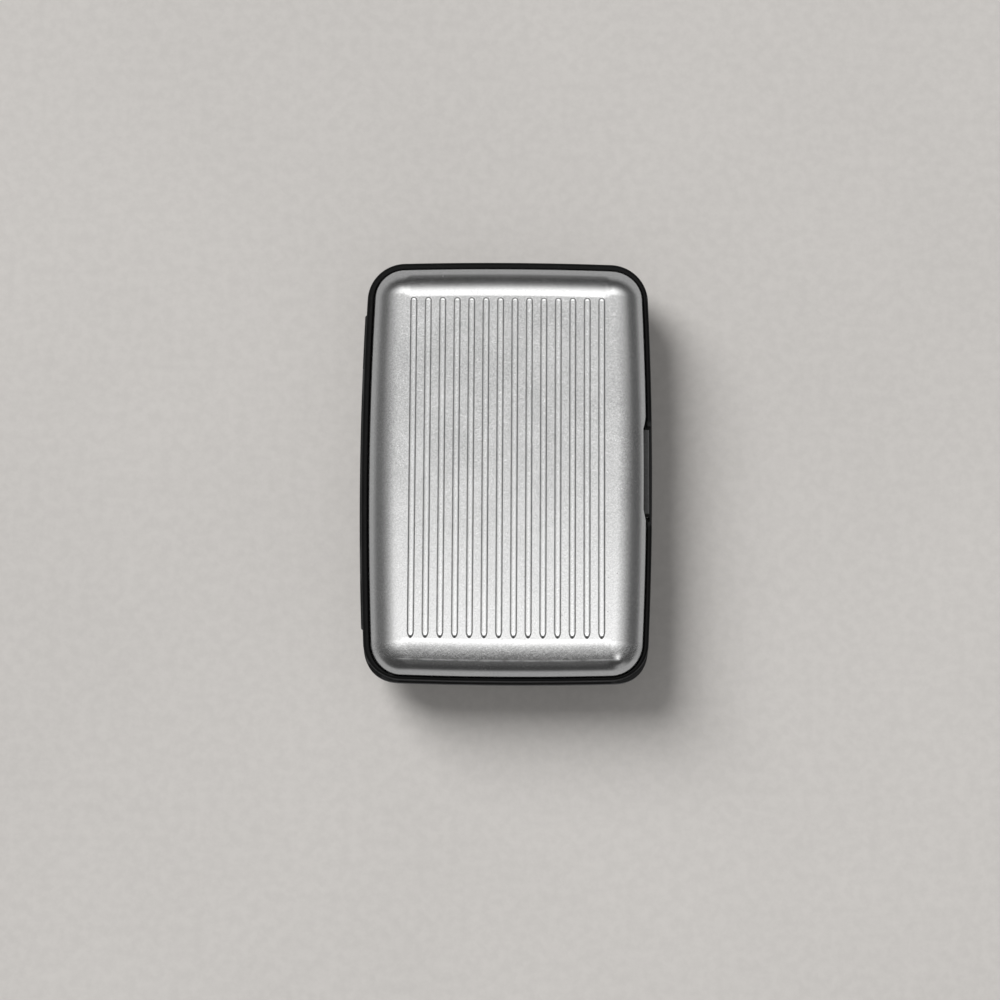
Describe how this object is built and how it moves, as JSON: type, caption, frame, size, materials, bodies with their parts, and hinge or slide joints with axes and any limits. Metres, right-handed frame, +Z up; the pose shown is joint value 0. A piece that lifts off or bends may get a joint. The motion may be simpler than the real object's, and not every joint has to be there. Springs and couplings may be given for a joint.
{
  "type": "card case",
  "caption": "Hinged hard-shell case for cards: ribbed aluminium half shells in plastic frames, press latch and an accordion of card pockets.",
  "frame": {"origin": "centre of the underside, on the plane of the lower rib crests", "axes": "+X from the hinge to the latch, +Y along the hinge and the ribs, +Z up through the closed case"},
  "size_m": [0.0759, 0.1106, 0.02],
  "materials": {
    "aluminium_sheet": "satin, lightly scratched",
    "frame_plastic": "semi-gloss moulded black",
    "button_plastic": "moulded black, rubbed grey on its top",
    "liner_plastic": "matt black sheet",
    "leaf_plastic": "fine-grained black sheet",
    "pleat_plastic": "folded thin black film",
    "steel": "drawn wire and strip"
  },
  "bodies": {
    "base": {"base_shell": "aluminium_sheet", "base_frame": "frame_plastic", "base_liner": "liner_plastic", "hinge_pin": "steel", "latch_pin": "steel", "latch_spring": "steel", "pocket_leaf_1": "leaf_plastic", "pocket_gusset_1": "pleat_plastic"},
    "lid": {"lid_shell": "aluminium_sheet", "lid_frame": "frame_plastic", "lid_liner": "liner_plastic"},
    "latch": {"latch_button": "button_plastic"},
    "leaf_2": {"pocket_leaf_2": "leaf_plastic", "pocket_gusset_2": "pleat_plastic"},
    "leaf_3": {"pocket_leaf_3": "leaf_plastic", "pocket_gusset_3": "pleat_plastic"},
    "leaf_4": {"pocket_leaf_4": "leaf_plastic", "pocket_gusset_4": "pleat_plastic"},
    "leaf_5": {"pocket_leaf_5": "leaf_plastic", "pocket_gusset_5": "pleat_plastic"},
    "leaf_6": {"pocket_leaf_6": "leaf_plastic", "pocket_gusset_6": "pleat_plastic"},
    "leaf_7": {"pocket_leaf_7": "leaf_plastic"}
  },
  "joints": [
    {"name": "lid_hinge", "type": "hinge", "parent": "base", "child": "lid", "pos_m": [-0.03605, 0, 0.01], "axis": [0, -1, 0], "range_deg": [0, 54]},
    {"name": "latch_press", "type": "hinge", "parent": "base", "child": "latch", "pos_m": [0.0364, 0, 0.008], "axis": [0, -1, 0], "range_deg": [0, 6], "stiffness_Nm_per_rad": 0.05, "deforming": ["latch_spring"]},
    {"name": "leaf_2_turn", "type": "hinge", "parent": "base", "child": "leaf_2", "pos_m": [-0.03605, 0, 0.01], "axis": [0, -1, 0], "range_deg": [0, 9], "deforming": ["pocket_gusset_1"]},
    {"name": "leaf_3_turn", "type": "hinge", "parent": "leaf_2", "child": "leaf_3", "pos_m": [-0.03605, 0, 0.01], "axis": [0, -1, 0], "range_deg": [0, 9], "deforming": ["pocket_gusset_2"]},
    {"name": "leaf_4_turn", "type": "hinge", "parent": "leaf_3", "child": "leaf_4", "pos_m": [-0.03605, 0, 0.01], "axis": [0, -1, 0], "range_deg": [0, 9], "deforming": ["pocket_gusset_3"]},
    {"name": "leaf_5_turn", "type": "hinge", "parent": "leaf_4", "child": "leaf_5", "pos_m": [-0.03605, 0, 0.01], "axis": [0, -1, 0], "range_deg": [0, 9], "deforming": ["pocket_gusset_4"]},
    {"name": "leaf_6_turn", "type": "hinge", "parent": "leaf_5", "child": "leaf_6", "pos_m": [-0.03605, 0, 0.01], "axis": [0, -1, 0], "range_deg": [0, 9], "deforming": ["pocket_gusset_5"]},
    {"name": "leaf_7_turn", "type": "hinge", "parent": "leaf_6", "child": "leaf_7", "pos_m": [-0.03605, 0, 0.01], "axis": [0, -1, 0], "range_deg": [0, 9], "deforming": ["pocket_gusset_6"]}
  ],
  "couplings": [
    {"joint": "leaf_2_turn", "follows": "lid_hinge", "ratio": 0.16667},
    {"joint": "leaf_3_turn", "follows": "lid_hinge", "ratio": 0.16667},
    {"joint": "leaf_4_turn", "follows": "lid_hinge", "ratio": 0.16667},
    {"joint": "leaf_5_turn", "follows": "lid_hinge", "ratio": 0.16667},
    {"joint": "leaf_6_turn", "follows": "lid_hinge", "ratio": 0.16667},
    {"joint": "leaf_7_turn", "follows": "lid_hinge", "ratio": 0.16667}
  ]
}
